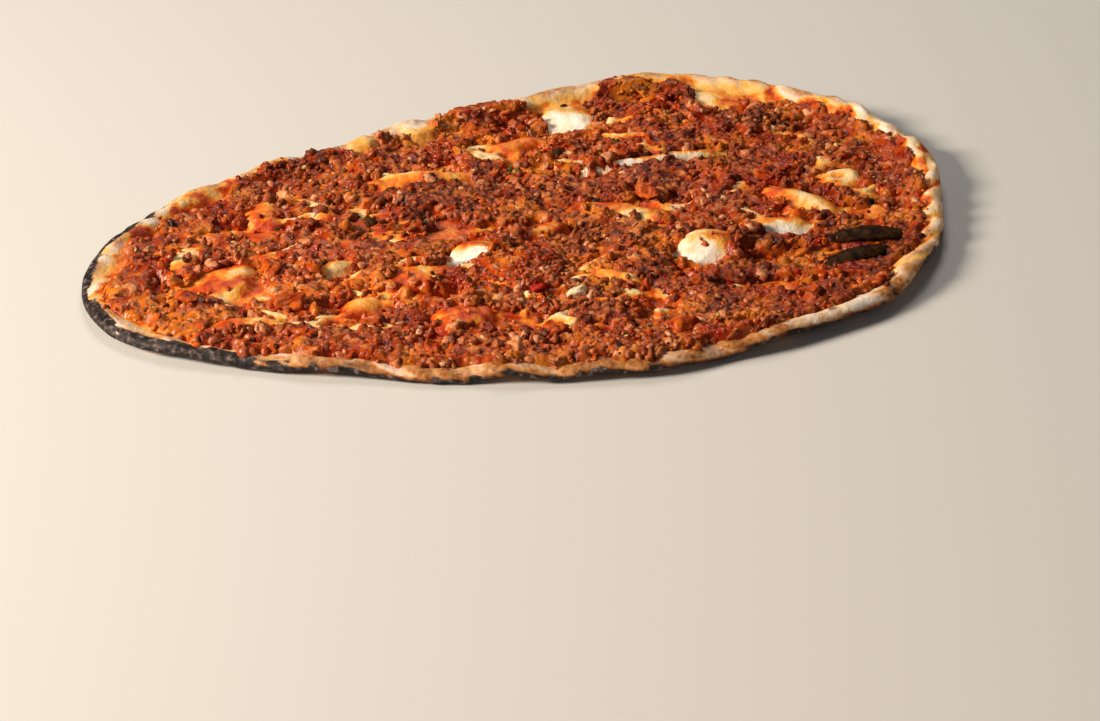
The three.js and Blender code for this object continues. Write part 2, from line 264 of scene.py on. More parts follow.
# Low folds and wrinkles of the dough, which lie mostly along one way.
FOLD_DIRECTION = -20
FOLD_LENGTH = 30
FOLD_SPACING = 13
FOLD_HEIGHT = 3.0
# Where the dough has no folds: middle and reach.
FLAT_PLACES = ((-30, 24, 26), (50, -60, 26), (98, -60, 22), (-93, -6, 12))


def along_folds(x, y, length, spacing):
    """Places counted along and across the folds, in fold lengths and spacings."""
    turn = math.radians(FOLD_DIRECTION)
    along = (x * math.cos(turn) + y * math.sin(turn)) / length
    return along, (y * math.cos(turn) - x * math.sin(turn)) / spacing


def folds(x, y):
    """1 along the crest of a fold of the dough, 0 between folds."""
    waves = rough(*along_folds(x, y, FOLD_LENGTH, FOLD_SPACING), 1, 31.4, 3)
    crests = smooth_step(0.24, 0.02, np.abs(waves))
    flattened = sum(np.exp(-((x - u) ** 2 + (y - v) ** 2) / reach**2) for u, v, reach in FLAT_PLACES)
    present = smooth_step(-0.2, 0.1, rough(x, y, 38, 14.9, 2) - 1.2 * flattened)
    return crests * present * smooth_step(16, 30, edge_radius(np.arctan2(y, x)) - np.hypot(x, y))


# How softly a blister leaves the sheet, and how uneven its outline is.
BLISTER_BLEND = 0.8
BLISTER_WOBBLE = 0.8
# The white side is a flat steep face that ends here and is this long, in half widths.
WHITE_EDGE = 1.05
WHITE_RUN = 0.72
FACE_BLEND = 0.14


def bread_top(x, y):
    """The baked dough's top, with its blisters and small bumps."""
    height = sheet_height(x, y) + FOLD_HEIGHT * folds(x, y)
    wobble = np.clip(1 + BLISTER_WOBBLE * rough(x, y, 13, 4.2), 0.5, 2)
    for blister in BLISTERS:
        out, towards = blister_place(blister, x, y)
        middle = np.array([float(v) for v in blister["at"]])
        floor = sheet_height(middle[:1], middle[1:])[0]
        rise = np.clip(1 - out * wobble, 0, 1) ** 0.5 * np.clip(0.85 + 0.4 * towards, 0.35, 1.05)
        face = np.clip((WHITE_EDGE - towards) / WHITE_RUN, 0, 2)
        rise = np.maximum(-smooth_max(-rise, -face, FACE_BLEND), 0)
        dome = smooth_max(height, floor + blister["size"][2] * rise, BLISTER_BLEND)
        height = np.where(out * wobble < 1, dome - BLISTER_BLEND / 2, height)
    return height + 0.45 * rough(x, y, 9, 1.7) + 0.3 * rough(x, y, 3.4, 8.3)


# Where the mince has run up over the near side of the largest blister.
RUN_UP = {"at": (65, -48.5), "reach": 6.5, "depth": 1.6}


def bare_reach(x, y):
    """Over 0 where a blister or fold has pushed through the mince, and 1 in the middle of the bare dough."""
    ragged = 0.9 * rough(x, y, 12, 2.8) + 0.6 * rough(x, y, 4.5, 7.1, 4)
    bare = 1.1 * folds(x, y) - 0.35 - 0.5 * ragged
    for blister in BLISTERS:
        out, towards = blister_place(blister, x, y)
        reach = 1.02 - out * np.clip(1 + ragged, 0.5, 2) - 0.4 * ragged + 0.25 * np.clip(towards, 0, 1)
        hidden = 0 if blister["pale"] is None else smooth_step(-0.35, -0.9, towards + 0.4 * ragged)
        bare = np.maximum(bare, blister["bare"] * reach - 1.2 * hidden)
    away = ((x - RUN_UP["at"][0]) ** 2 + (y - RUN_UP["at"][1]) ** 2) / RUN_UP["reach"] ** 2
    return np.clip(bare - RUN_UP["depth"] * np.exp(-away), -1, 1)


def bare_share(x, y):
    """1 where the dough is bare, 0 where the mince lies whole."""
    return np.clip(2 * bare_reach(x, y), 0, 0.95)


def white_share(x, y):
    """1 on the blisters' white sides."""
    white = np.zeros_like(x)
    streaks = rough(x, y, 9, 5.3, 3)
    for blister in BLISTERS:
        if blister["pale"] is not None:
            out, towards = blister_place(blister, x, y)
            face = smooth_step(0.25, 0.6, towards + 0.35 * streaks)
            face = face * smooth_step(1.25, 0.9, out + 0.3 * streaks)
            white = np.maximum(white, face)
    return white


# Even the cleanest bare fold has taken up this much oil.
LEAST_STAIN = 0.2


def dough_stain(x, y):
    """How deep oil and tomato colour the dough, from 0 for clean dough to 1 for red-brown."""
    streaks = rough(x, y, 11, 3.9, 4)
    stain = np.clip(0.5 + 0.6 * streaks - 0.2 * folds(x, y), 0.12, 0.9)
    for blister in BLISTERS:
        out, _ = blister_place(blister, x, y)
        inside = smooth_step(1.3, 0.8, out)
        stain = stain * (1 - inside) + (blister["stain"] + 0.55 * streaks) * inside
    reach = bare_reach(x, y)
    edge_of_mince = smooth_step(0.5, 0.05, reach) * smooth_step(-0.5, -0.1, reach)
    white = white_share(x, y)
    soaked = np.maximum(stain, LEAST_STAIN) * (1 - white)
    return np.clip(soaked + 0.35 * edge_of_mince * (1 - 0.6 * white), 0, 1)


def blister_toast(x, y):
    """Small brown spots that the oven left on the tops of the blisters, off their white sides."""
    inside = np.zeros_like(x)
    for blister in BLISTERS:
        out, _ = blister_place(blister, x, y)
        inside = np.maximum(inside, smooth_step(1.1, 0.7, out))
    return inside * (1 - white_share(x, y)) * smooth_step(0.15, 0.5, rough(x, y, 6, 17.3, 3))


# The middle of the outline's box, which is the frame's origin, and one millimetre in the frame's metres.
OUTLINE_STEPS = 720
TURNS = np.linspace(0, 2 * np.pi, OUTLINE_STEPS, endpoint=False)
OUTLINE_X = edge_radius(TURNS) * np.cos(TURNS)
OUTLINE_Y = edge_radius(TURNS) * np.sin(TURNS)
MIDDLE = ((OUTLINE_X.min() + OUTLINE_X.max()) / 2, (OUTLINE_Y.min() + OUTLINE_Y.max()) / 2)
MM = 0.001


def write_points(mesh, x, y, z):
    """Moves a mesh's points to a place in millimetres, about the middle of the outline's box."""
    points = np.column_stack([x - MIDDLE[0], y - MIDDLE[1], z]) * MM
    mesh.vertices.foreach_set("co", points.ravel())
    mesh.update()


def read_points(mesh):
    """A mesh's x, y and z."""
    points = np.zeros(len(mesh.vertices) * 3)
    mesh.vertices.foreach_get("co", points)
    return points.reshape(-1, 3).T


def give_shares(mesh, **shares):
    """Stores a number for each point, which the material reads by name."""
    for name, values in shares.items():
        attribute = mesh.attributes.new(name, "FLOAT", "POINT")
        attribute.data.foreach_set("value", np.asarray(values, np.float32))


def smooth_faces(mesh):
    mesh.polygons.foreach_set("use_smooth", [True] * len(mesh.polygons))


# The bread's section, from the middle of the top over the rim to the middle of the underside, is spun once
# round. Each of its points has its number as its z, by which the spun mesh is then put in place.
BREAD_STEPS = 520
TOP_RINGS = 86
SLOPE_RINGS = 18
NOSE_RINGS = 7
UNDER_RINGS = 8
FLAT_RINGS = 34
# The rings are closer within this distance of the edge.
RIM_WIDTH = 20
# The edge turns under through this arc, and the hollow under the rim starts here and falls this steeply.
TUCK_ARC = np.pi / 2.5
UNDER_INSET = 2.8
UNDER_CURVE = 2.2
BREAD_CEILING = 11.5

section = [("top", share) for share in np.linspace(0, 1, TOP_RINGS, endpoint=False)]
section += [("slope", share) for share in np.linspace(0, 1, SLOPE_RINGS, endpoint=False)]
section += [("nose", share) for share in np.linspace(0, 1, NOSE_RINGS, endpoint=False)]
section += [("tuck", share) for share in np.linspace(0, 1, NOSE_RINGS, endpoint=False)]
section += [("under", share) for share in np.linspace(0, 1, UNDER_RINGS, endpoint=False)]
section += [("flat", share) for share in np.linspace(0, 1, FLAT_RINGS)]

bread_bm = bmesh.new()
section_verts = [
    bread_bm.verts.new((0 if k in (0, len(section) - 1) else 1, 0, k)) for k in range(len(section))
]
section_edges = [bread_bm.edges.new(pair) for pair in zip(section_verts, section_verts[1:])]
bmesh.ops.spin(
    bread_bm,
    geom=section_verts + section_edges,
    axis=(0, 0, 1),
    cent=(0, 0, 0),
    angle=2 * math.pi,
    steps=BREAD_STEPS,
    use_merge=True,
)
bmesh.ops.remove_doubles(bread_bm, verts=bread_bm.verts, dist=1e-4)
bmesh.ops.recalc_face_normals(bread_bm, faces=bread_bm.faces)
bread_mesh = bpy.data.meshes.new("bread_crust")
bread_bm.to_mesh(bread_mesh)
bread_bm.free()

code_x, code_y, code_z = read_points(bread_mesh)
number = np.rint(code_z).astype(int)
part = np.array([name for name, _ in section])[number]
share = np.array([value for _, value in section])[number]
angle = np.arctan2(code_y, code_x)
edge = edge_radius(angle)
crest = crest_height(angle)

inset = np.select(
    [part == "top", part == "slope", part == "nose", part == "tuck", part == "under"],
    [
        edge - share * (edge - RIM_WIDTH),
        RIM_WIDTH + share * (CREST_INSET - RIM_WIDTH),
        CREST_INSET * (1 - np.sin(share * np.pi / 2)),
        CREST_INSET * (1 - np.cos(share * TUCK_ARC)),
        UNDER_INSET + share * (FLAT_INSET - UNDER_INSET),
    ],
    FLAT_INSET + share * (edge - FLAT_INSET),
)

# The rim along its way round, by angle: how charred, toasted and sauce-stained its crest is, and how deep
# it is pinched into slanting ridges. Along the back of the rim the toast is partly painted shade, darker
# where the light falls off.
RIM_FINISH = (
    {"angle": 0, "char": 0, "toast": 0.5, "sauce": 0.85, "pinch": 1.0},
    {"angle": 14, "char": 0, "toast": 0.55, "sauce": 0.75, "pinch": 1.0},
    {"angle": 20, "char": 0, "toast": 0.6, "sauce": 0.5, "pinch": 0.85},
    {"angle": 30, "char": 0, "toast": 0.65, "sauce": 0.4, "pinch": 0.7},
    {"angle": 37, "char": 0, "toast": 0.65, "sauce": 0.25, "pinch": 0.5},
    {"angle": 44, "char": 0, "toast": 0.8, "sauce": 0.7, "pinch": 0.4},
    {"angle": 54, "char": 0, "toast": 0.8, "sauce": 0.8, "pinch": 0.3},
    {"angle": 61, "char": 0, "toast": 0.35, "sauce": 0.0, "pinch": 0.2},
    {"angle": 72, "char": 0, "toast": 0.7, "sauce": 0.8, "pinch": 0.3},
    {"angle": 90, "char": 0, "toast": 0.8, "sauce": 0.8, "pinch": 0.3},
    {"angle": 99, "char": 0, "toast": 0.6, "sauce": 0.15, "pinch": 0.3},
    {"angle": 111, "char": 0, "toast": 0.75, "sauce": 0.3, "pinch": 0.4},
    {"angle": 126, "char": 0.1, "toast": 0.95, "sauce": 0.8, "pinch": 0.6},
    {"angle": 144, "char": 0.1, "toast": 0.85, "sauce": 0.8, "pinch": 0.4},
    {"angle": 150, "char": 0.3, "toast": 0.8, "sauce": 0.7, "pinch": 0.4},
    {"angle": 155, "char": 0.8, "toast": 0.7, "sauce": 0.7, "pinch": 0.3},
    {"angle": 168, "char": 0.8, "toast": 0.6, "sauce": 0.5, "pinch": 0.3},
    {"angle": 178, "char": 0.8, "toast": 0.65, "sauce": 0.7, "pinch": 0.3},
    {"angle": 187, "char": 0.8, "toast": 0.7, "sauce": 0.25, "pinch": 0.3},
    {"angle": 197, "char": 0.85, "toast": 0.6, "sauce": 0.5, "pinch": 0.3},
    {"angle": 204, "char": 0.35, "toast": 0.95, "sauce": 0.3, "pinch": 0.3},
    {"angle": 222, "char": 0.22, "toast": 0.95, "sauce": 0.1, "pinch": 0.4},
    {"angle": 250, "char": 0.15, "toast": 0.95, "sauce": 0.1, "pinch": 0.4},
    {"angle": 272, "char": 0.12, "toast": 1.15, "sauce": 0.1, "pinch": 0.3},
    {"angle": 284, "char": 0.1, "toast": 1.05, "sauce": 0.1, "pinch": 0.3},
    {"angle": 291, "char": 0.05, "toast": 0.6, "sauce": 0.05, "pinch": 0.3},
    {"angle": 318, "char": 0, "toast": 0.6, "sauce": 0.05, "pinch": 0.3},
    {"angle": 340, "char": 0, "toast": 0.65, "sauce": 0.8, "pinch": 0.7},
)
# The ridges' distance along the rim, their slant in radians a millimetre, and their height.
PINCH_SPACING = 17
PINCH_SLANT = 0.42
PINCH_HEIGHT = 0.8
WALK_STEPS = 1441


def rim_finish(name, angle):
    """One of the rim's four finishes at each angle."""
    rows = [(row["angle"], row[name]) for row in RIM_FINISH]
    places, values = np.array(rows, float).T
    return np.interp(np.degrees(angle) % 360, places, values, period=360)


def pinches(x, y, inset, angle):
    """The slanting ridges left by fingers: 1 on a ridge, -1 between two."""
    steps = np.linspace(-np.pi, np.pi, WALK_STEPS)
    walked = np.hypot(*np.diff([edge_radius(steps) * np.cos(steps), edge_radius(steps) * np.sin(steps)]))
    distance = np.interp(angle, steps, np.append(0, np.cumsum(walked)))
    uneven = 5.5 * rough(x, y, 34, 8.8, 2)
    ragged = 0.7 * rough(x, y, 9, 4.7, 3)
    return np.sin(2 * np.pi * distance / PINCH_SPACING + PINCH_SLANT * inset + uneven) + ragged


rim_lumps = rough(edge * np.cos(angle), edge * np.sin(angle), 26, 6.1, 4)
fine_lumps = rough(edge * np.cos(angle) + inset, edge * np.sin(angle) - inset, 5, 2.4, 3)
radius = edge - inset
x = radius * np.cos(angle)
y = radius * np.sin(angle)
ridges = pinches(x, y, inset, angle)
relief = 0.5 * rim_lumps + 0.3 * fine_lumps + PINCH_HEIGHT * rim_finish("pinch", angle) * ridges
relief = relief * smooth_step(16, 7, inset) * np.where(np.isin(part, ["under", "flat"]), 0, 1)
nose_height = crest - NOSE_DROP * (1 - np.cos(share * np.pi / 2))
tuck_height = crest - NOSE_DROP - NOSE_UNDER * np.sin(share * TUCK_ARC)
under_start = crest - NOSE_DROP - NOSE_UNDER * np.sin(TUCK_ARC)
z = np.select(
    [(part == "top") | (part == "slope"), part == "nose", part == "tuck", part == "under"],
    [
        bread_top(x, y) + relief,
        nose_height + relief,
        tuck_height + relief * (1 - share),
        under_start * (1 - share) ** UNDER_CURVE,
    ],
    0,
)
write_points(bread_mesh, x, y, np.minimum(z, BREAD_CEILING))
smooth_faces(bread_mesh)

# Char: in patches on the crest, more of it down the outside, and in blots on the underside. The darkening
# down the outside is partly painted shade.
drop = crest - z
outside = np.isin(part, ["nose", "tuck", "under", "flat"])
blotch = rough(x + 3 * z, y - 3 * z, 11, 5.5, 4)
char_here = rim_finish("char", angle)
ash = rough(x, y, 5, 12.6, 4)
crest_char = 1.5 * char_here + 0.7 * blotch + 0.7 * ash - 0.5 * np.clip(inset - 2, 0, 9)
char = smooth_step(0.1, 0.75, crest_char) * smooth_step(0, 0.5, char_here)
# Painted shade, partly real char: the outside darkens the lower it lies under the crest.
outer_char = smooth_step(0.1, 1.0, 0.42 * drop + 1.4 * char_here + 1.2 * blotch + 0.7 * ash - 0.6)
char = np.where(np.isin(part, ["nose", "tuck"]), np.maximum(char, outer_char), char)
char = np.where(part == "under", smooth_step(-0.1, 0.5, blotch + 0.5 * char_here), char)
char = np.where(part == "flat", 0.9 * smooth_step(0.25, 0.7, blotch + 0.4 * ash), char)

# Toast: on the rim, on top of the blisters, and over all that lay on or faced the hot stone. Down the rim's
# outside the browning is partly painted shade.
toast = np.clip(0.75 * rim_finish("toast", angle) + 0.7 * blotch, 0, 0.75) * smooth_step(13, 3, inset)
toast = np.maximum(toast, 0.6 * blister_toast(x, y))
# Painted shade, partly real toast: the outside browns the lower it lies under the crest.
side_toast = smooth_step(0.3, 2.8, drop + 1.2 * blotch + char_here)
toast = np.where(np.isin(part, ["nose", "tuck"]), np.maximum(toast, side_toast), toast)
toast = np.where(np.isin(part, ["under", "flat"]), np.clip(0.75 + 0.7 * blotch, 0, 1), toast)

# Stain: up to an uneven line on the rim, as a faint blush on its inner slope, and in runs between ridges.
SAUCE_REACH = 12
OIL_BLUSH = 0.3
sauce = rim_finish("sauce", angle)
reach_up = 6.5 * ridges * sauce * rim_finish("pinch", angle)
sauce_line = SAUCE_REACH - 11 * sauce + 5 * rough(x, y, 8, 9.4, 4) + reach_up
rim_stain = smooth_step(sauce_line, sauce_line + 3.5, inset)
oil_line = inset + 4 * rough(x, y, 9, 2.9, 3)
oil_blush = OIL_BLUSH * smooth_step(3, 11, oil_line) * smooth_step(22, 14, inset)
runs = 0.95 * sauce * smooth_step(0.1, 0.9, -ridges) * smooth_step(0, 0.6, rim_finish("pinch", angle))
runs = runs * smooth_step(-0.3, 0.2, rough(x, y, 9, 21.5, 3)) * smooth_step(14, 8, inset)
stained = np.maximum(np.maximum(dough_stain(x, y) * rim_stain, oil_blush), runs)
stain = np.where(outside, np.maximum(runs, 0.15 * sauce) * smooth_step(2.6, 0.8, drop), stained)
give_shares(bread_mesh, char=char, toast=toast, stain=stain)
bread = new_object("bread_crust", bread_mesh)

# Baked wheat dough: matt cream where it is dry, golden where toasted, orange and glossy where oil has
# soaked in, and a dry brown-black where it is charred. Flour and bubbles mottle it, and freckle it finer.
# Down the rim's outside the golden, brown and brown-black are partly painted shade.
MOTTLE_SIZE = 5.56
FRECKLE_SIZE = 1.92


def pattern_scale(size):
    """A noise's scale in the frame's metres, from the size in millimetres of what it shows."""
    return 1 / (size * MM)


baked_dough, tree = new_material("baked_wheat_dough")
place = add(tree, "ShaderNodeTexCoord").outputs["Object"]
mottle = add(
    tree,
    "ShaderNodeTexNoise",
    {"Vector": place, "Scale": pattern_scale(MOTTLE_SIZE), "Detail": 5},
)
freckle = add(
    tree,
    "ShaderNodeTexNoise",
    {"Vector": place, "Scale": pattern_scale(FRECKLE_SIZE), "Detail": 3},
)
char_share = add(tree, "ShaderNodeAttribute", attribute_name="char").outputs["Fac"]
toast_share = add(tree, "ShaderNodeAttribute", attribute_name="toast").outputs["Fac"]
stain_share = add(tree, "ShaderNodeAttribute", attribute_name="stain").outputs["Fac"]


def ramp(tree, value, stops):
    """A colour ramp through (place, hex colour) stops."""
    made = add(tree, "ShaderNodeValToRGB", {"Fac": value})
    elements = made.color_ramp.elements
    while len(elements) < len(stops):
        elements.new(0.5)
    for element, (position, colour) in zip(elements, stops):
        element.position = position
        element.color = linear(colour)
    return made.outputs["Color"]


def blend(tree, share, below, above):
    """One colour over another, by share."""
    links = {0: share, 6: below, 7: above}
    return add(tree, "ShaderNodeMix", links, data_type="RGBA").outputs[2]


def mix_numbers(tree, operation, a, b):
    """Two numbers, or nodes' outputs, added, multiplied or subtracted."""
    return add(tree, "ShaderNodeMath", {0: a, 1: b}, operation=operation).outputs[0]


cream = ramp(tree, mottle.outputs["Fac"], ((0.3, "#f2d6a4"), (0.58, "#fff7ea")))
golden = ramp(tree, freckle.outputs["Fac"], ((0.35, "#b5672a"), (0.65, "#dfa05c")))
crust_and_shade = ramp(tree, freckle.outputs["Fac"], ((0.35, "#4f2108"), (0.65, "#94501c")))
blots = add(tree, "ShaderNodeMapRange", {0: mottle.outputs["Fac"], 3: 0.35, 4: 1.65}).outputs[0]
specks = add(tree, "ShaderNodeMapRange", {0: freckle.outputs["Fac"], 3: 0.5, 4: 1.5}).outputs[0]
blotted = mix_numbers(tree, "MULTIPLY", mix_numbers(tree, "MULTIPLY", stain_share, blots), specks)
oiled = ramp(
    tree,
    blotted,
    ((0.0, "#fcecca"), (0.2, "#f8c25e"), (0.42, "#f09028"), (0.66, "#d6560e"), (0.95, "#a83206")),
)
burnt = ramp(
    tree,
    freckle.outputs["Fac"],
    ((0.34, "#0c0706"), (0.48, "#241815"), (0.58, "#4a3a36"), (0.7, "#7c6e6c")),
)
part_toasted = add(tree, "ShaderNodeMapRange", {0: toast_share, 1: 0.0, 2: 0.6}).outputs[0]
well_toasted = add(tree, "ShaderNodeMapRange", {0: toast_share, 1: 0.55, 2: 1.0}).outputs[0]
toasted = blend(tree, well_toasted, blend(tree, part_toasted, cream, golden), crust_and_shade)
oil_cover = add(tree, "ShaderNodeMapRange", {0: stain_share, 1: 0.02, 2: 0.3}).outputs[0]
stained = blend(tree, oil_cover, toasted, oiled)
grainy_char = mix_numbers(tree, "ADD", char_share, mix_numbers(tree, "SUBTRACT", specks, 1))
char_cover = add(tree, "ShaderNodeMapRange", {0: grainy_char, 1: 0.25, 2: 0.65}).outputs[0]
dough_colour = blend(tree, char_cover, stained, burnt)
dough_gloss = add(tree, "ShaderNodeMapRange", {0: stain_share, 3: 0.62, 4: 0.4})
dough_bump = add(
    tree,
    "ShaderNodeBump",
    {"Height": freckle.outputs["Fac"], "Strength": 0.5, "Distance": 0.9 * MM},
)
finish_material(
    tree,
    add(
        tree,
        "ShaderNodeBsdfPrincipled",
        {
            "Base Color": dough_colour,
            "Roughness": dough_gloss.outputs[0],
            "Normal": dough_bump.outputs[0],
            "Specular IOR Level": 0.3,
            "Subsurface Weight": 0.08,
            "Subsurface Scale": 2 * MM,
        },
    ),
)
bread_mesh.materials.append(baked_dough)
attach(bread, "root")
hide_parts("bread")


# Topping: raw mince kneaded with tomato, peppers and oil, pressed onto the dough as one thin layer before
# baking. It is moist and red-brown, and it has shrunk away from the rim and off the blisters.

# How far in from the edge the mince starts, by angle.
TOPPING_MARGINS = (
    (0, 8), (20, 9), (26, 14), (31, 20), (38, 19), (43, 8), (54, 5), (58, 15), (66, 16), (71, 5.5),
    (92, 5), (99, 10), (105, 6), (111, 10), (118, 5), (132, 4), (140, 9), (146, 14), (152, 13),
    (156, 8), (159, 14), (163, 9), (166, 14), (171, 13), (175, 7), (181, 7), (185, 12), (191, 11),
    (195, 6), (206, 7), (225, 4.8), (270, 4.5), (296, 4.5), (301, 9), (306, 4.8), (315, 10), (320, 5.5),
    (325, 12), (331, 7), (345, 8),
)
LAYER_THICKNESS = 1.9
# Streaks where the mince lies thin, along and across the folds.
THIN_LENGTH = 26
THIN_WIDTH = 11
# No topping reaches under or over these heights.
LOWEST = 0.45
HIGHEST = 11.4
LAYER_CELLS = 305
# The layer runs this far past its edge, and its turned-in border narrows by these shares.
LAYER_OVERRUN = 3
BORDER_STEPS = (1, 0.85, 0.75)


def topping_edge(angle):
    """Radius of the topping's edge."""
    places, margins = np.array(TOPPING_MARGINS, float).T
    return edge_radius(angle) - np.interp(np.degrees(angle) % 360, places, margins, period=360)


def layer_thickness(x, y):
    """How thick the topping lies on the dough; under 0 the dough shows."""
    from_edge = topping_edge(np.arctan2(y, x)) - np.hypot(x, y)
    fade = smooth_step(-2.5, 3.5, from_edge + 3 * rough(x, y, 9, 3.3))
    patchy = LAYER_THICKNESS + 1.1 * rough(x, y, 24, 7.7) + 0.9 * rough(x, y, 8, 5.1)
    streaks = rough(*along_folds(x, y, THIN_LENGTH, THIN_WIDTH), 1, 12.5, 4)
    thin_patch = smooth_step(0.12, 0.4, streaks) * smooth_step(4, 12, from_edge)
    return (patchy - 2.5 * thin_patch) * fade - 1.2 * (1 - fade) - 3.4 * bare_share(x, y)


# Where the meat is darker or lighter, where more tomato went and where crumbs are heaped: middle, reach
# and the three amounts. The first row paints shade: darker meat and less tomato in a shadowed hollow. The
# third row's lighter meat is painted light on the lit left end.
MEAT_REGIONS = (
    {"at": (-30, 27), "reach": 32, "tone": -0.16, "wet": -0.3, "heap": 0},
    {"at": (60, 18), "reach": 28, "tone": -0.05, "wet": -0.3, "heap": 0},
    {"at": (-95, -12), "reach": 38, "tone": 0.12, "wet": 0.25, "heap": 0},
    {"at": (-50, -45), "reach": 26, "tone": 0.05, "wet": 0.4, "heap": 0},
    {"at": (45, -62), "reach": 45, "tone": -0.08, "wet": 0.05, "heap": 0},
    {"at": (105, -60), "reach": 36, "tone": -0.3, "wet": 0.1, "heap": 0},
    {"at": (25, 85), "reach": 42, "tone": 0, "wet": 0.35, "heap": 0},
    {"at": (-65, 68), "reach": 30, "tone": -0.03, "wet": 0.2, "heap": 0},
    {"at": (105, 30), "reach": 40, "tone": -0.16, "wet": 0.15, "heap": 0},
    {"at": (78, 90), "reach": 19, "tone": -0.25, "wet": 0.1, "heap": 0.6},
    {"at": (124, 55), "reach": 10, "tone": -0.02, "wet": -0.1, "heap": 0.8},
    {"at": (-64, 84), "reach": 14, "tone": -0.25, "wet": 0, "heap": 0.3},
    {"at": (-124, 10), "reach": 14, "tone": 0.15, "wet": 0.7, "heap": 0},
)


def region(name, x, y):
    """The sum of the regions' amounts of one kind at each place."""
    total = np.zeros_like(x)
    for row in MEAT_REGIONS:
        away = ((x - row["at"][0]) ** 2 + (y - row["at"][1]) ** 2) / row["reach"] ** 2
        total += row[name] * np.exp(-away)
    return total


def grain(x, y, size, seed):
    """Rounded grains of mince, about size across: 0 in the gaps and 1 on the tops."""
    points = zip((x / size).tolist(), (y / size).tolist())
    nearest = np.array([noise.voronoi((u, v, seed))[0][0] for u, v in points])
    return np.sqrt(np.clip(1 - nearest**2 * 1.6, 0, 1))


layer_bm = bmesh.new()
bmesh.ops.create_grid(layer_bm, x_segments=LAYER_CELLS, y_segments=LAYER_CELLS, size=1)
for inward in BORDER_STEPS:
    border = [edge for edge in layer_bm.edges if edge.is_boundary]
    lower = bmesh.ops.extrude_edge_only(layer_bm, edges=border)["geom"]
    lower_verts = [thing for thing in lower if isinstance(thing, bmesh.types.BMVert)]
    bmesh.ops.translate(layer_bm, vec=(0, 0, -1), verts=lower_verts)
    bmesh.ops.scale(layer_bm, vec=(inward, inward, 1), verts=lower_verts)
bmesh.ops.contextual_create(layer_bm, geom=[edge for edge in layer_bm.edges if edge.is_boundary])
bmesh.ops.recalc_face_normals(layer_bm, faces=layer_bm.faces)
layer_mesh = bpy.data.meshes.new("baked_mince_layer")
layer_bm.to_mesh(layer_mesh)
layer_bm.free()

# The square grid is drawn to the oval: each square ring of it becomes a ring of the topping.
code_x, code_y, code_z = read_points(layer_mesh)
ring = np.maximum(np.abs(code_x), np.abs(code_y))
safe = np.maximum(ring, 1e-9)
sideways = np.where(np.abs(code_x) >= np.abs(code_y), code_y / safe, code_x / safe)
quarter = np.pi / 4 * sideways
angle = np.where(
    np.abs(code_x) >= np.abs(code_y),
    np.where(code_x >= 0, quarter, np.pi - quarter),
    np.where(code_y >= 0, np.pi / 2 - quarter, -np.pi / 2 + quarter),
)
radius = ring * (topping_edge(angle) + LAYER_OVERRUN)
x = radius * np.cos(angle)
y = radius * np.sin(angle)
thickness = layer_thickness(x, y)
lumps = 1.2 * grain(x, y, 4.4, 0.5) + 0.8 * grain(x, y, 2.3, 3.5) + 0.5 * rough(x, y, 1.8, 4.4, 2)
surface = bread_top(x, y) + thickness + lumps * smooth_step(-0.4, 1.2, thickness) * 0.9
surface = np.clip(surface, LOWEST, HIGHEST)
# Under the top, the border turns down and in within the dough, to a flat bottom.
z = np.select([code_z > -0.5, code_z > -2.5], [surface, 0.5 * bread_top(x, y)], LOWEST)
write_points(layer_mesh, x, y, z)
smooth_faces(layer_mesh)
wet = 0.5 + 0.9 * rough(x, y, 18, 2.2) + 0.6 * rough(x, y, 4, 6.6) + region("wet", x, y)
# The tone rises with the grains' height, so the gaps between grains are darker: painted shade, over the
# mince's own uneven tone.
tone = lumps / 2.6 + 0.5 * rough(x, y, 5, 1.2) + region("tone", x, y)
give_shares(layer_mesh, tone=np.clip(tone, 0, 1), wet=np.clip(wet, 0, 1))
layer = new_object("baked_mince_layer", layer_mesh)


# Fibres of meat, drawn coarse enough to show, and pools of sauce.
FIBRE_SIZE = 1.67
POOL_SIZE = 14.3


def mince_material(name, browns, sauce):
    """Baked mince in oily tomato sauce: brown crumbs, each its own shade, wet with a red-orange film. Its
    tone also carries painted light and shade.
    """
    material, tree = new_material(name)
    place = add(tree, "ShaderNodeTexCoord").outputs["Object"]
    fibre = add(
        tree,
        "ShaderNodeTexNoise",
        {"Vector": place, "Scale": pattern_scale(FIBRE_SIZE), "Detail": 4},
    )
    pool = add(
        tree,
        "ShaderNodeTexNoise",
        {"Vector": place, "Scale": pattern_scale(POOL_SIZE), "Detail": 3},
    )
    tone = add(tree, "ShaderNodeAttribute", attribute_name="tone").outputs["Fac"]
    wet = add(tree, "ShaderNodeAttribute", attribute_name="wet").outputs["Fac"]
    shade = mix_numbers(tree, "ADD", tone, mix_numbers(tree, "MULTIPLY", fibre.outputs["Fac"], 0.6))
    meat = ramp(tree, mix_numbers(tree, "SUBTRACT", shade, 0.3), browns)
    reds = ramp(tree, pool.outputs["Fac"], ((0.36, sauce[0]), (0.5, sauce[1]), (0.62, sauce[2])))
    colour = blend(tree, mix_numbers(tree, "MULTIPLY", wet, 0.75), meat, reds)
    gloss = add(tree, "ShaderNodeMapRange", {0: wet, 3: 0.42, 4: 0.2})
    bump = add(
        tree,
        "ShaderNodeBump",
        {"Height": fibre.outputs["Fac"], "Strength": 0.5, "Distance": MM},
    )
    shader = add(
        tree,
        "ShaderNodeBsdfPrincipled",
        {
            "Base Color": colour,
            "Roughness": gloss.outputs[0],
            "Specular IOR Level": 0.27,
            "Normal": bump.outputs[0],
            "Subsurface Weight": 0.25,
            "Subsurface Scale": 1.5 * MM,
            "Subsurface Radius": (1, 0.3, 0.12),
        },
    )
    finish_material(tree, shader)
    return material


